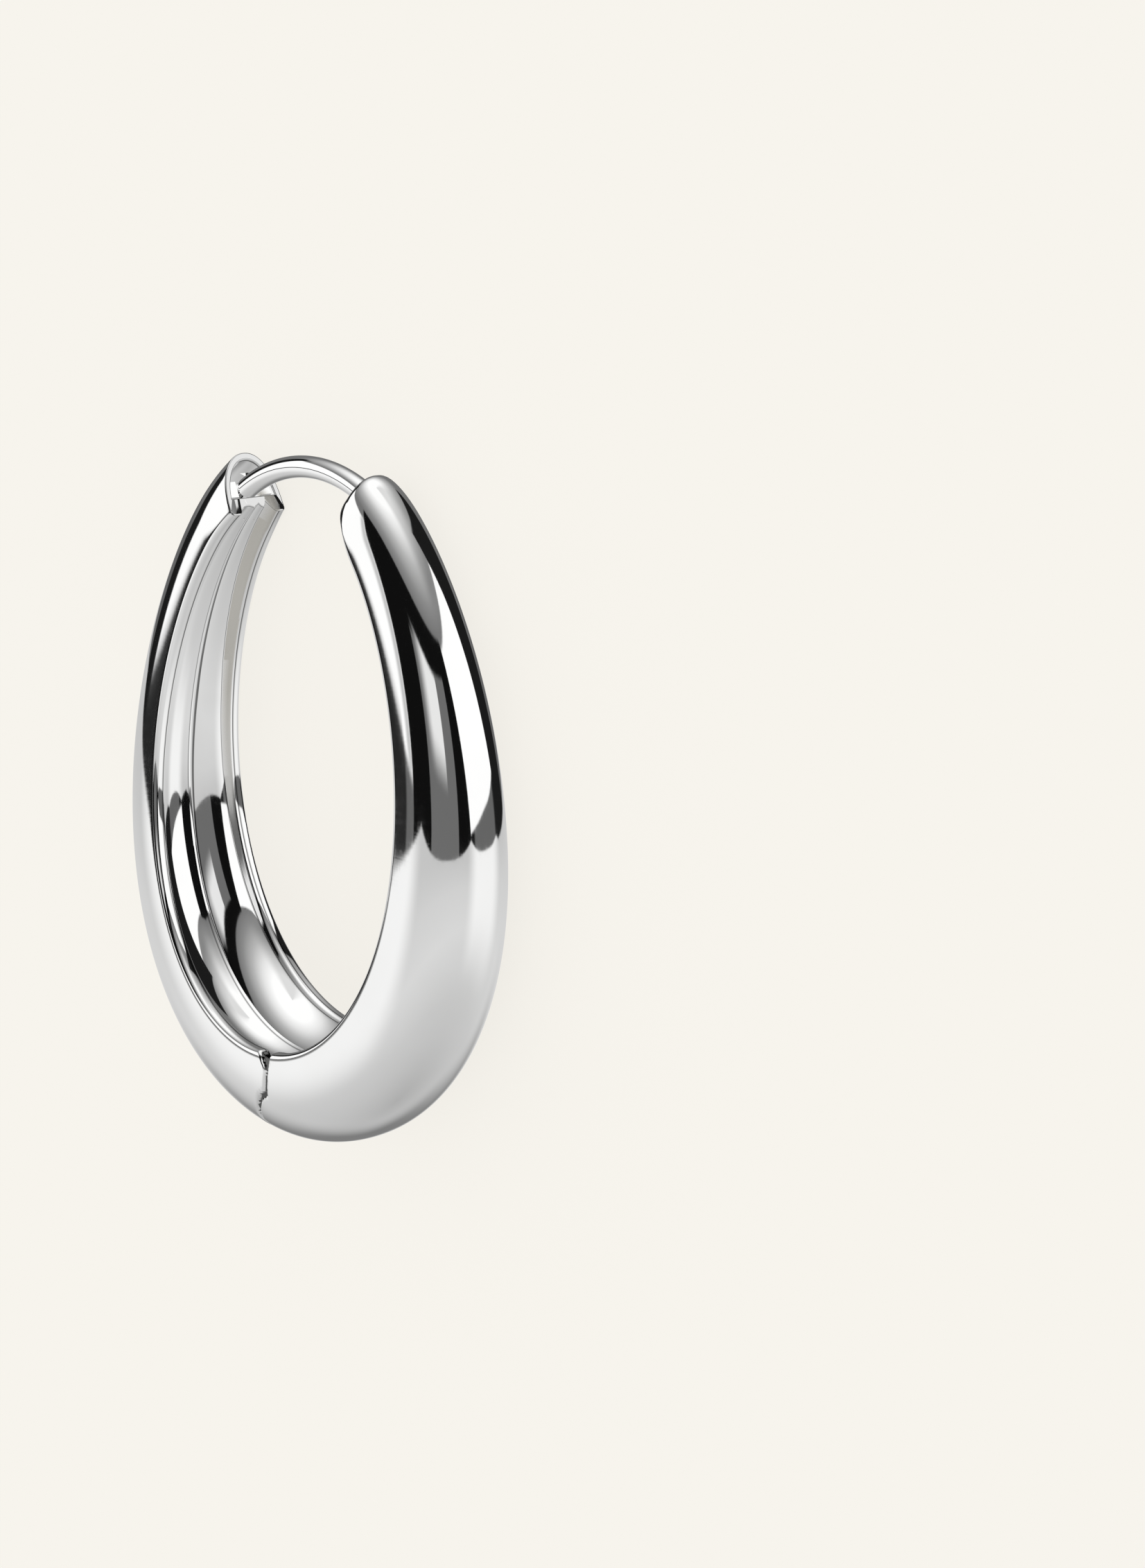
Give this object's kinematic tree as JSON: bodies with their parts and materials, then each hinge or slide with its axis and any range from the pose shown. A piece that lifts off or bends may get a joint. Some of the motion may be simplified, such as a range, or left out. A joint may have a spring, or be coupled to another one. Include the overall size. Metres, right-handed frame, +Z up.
{
  "type": "hoop earring",
  "caption": "Hinged oval hoop earring in polished silver: a domed band, wider at the hinge, with a round ear wire that swings out of the back half.",
  "frame": {"origin": "middle of the box's underside, on the surface that the hoop lies on", "axes": "+Y runs along the hoop's length from the hinge to the ear wire, +X from the back half to the front half, +Z up across the band's width"},
  "size_m": [0.0228, 0.03, 0.0063],
  "materials": {
    "back_silver": "mirror polished",
    "front_silver": "mirror polished",
    "pin_silver": "plain drawn wire"
  },
  "bodies": {
    "back": {"back_half": "back_silver", "hinge_pin": "pin_silver"},
    "front": {"front_half": "front_silver"}
  },
  "joints": [
    {"name": "hinge", "type": "hinge", "parent": "back", "child": "front", "pos_m": [-0.00025, -0.01428, 0.00337], "axis": [0, -0.064, -0.998], "range_deg": [0, 40]}
  ]
}
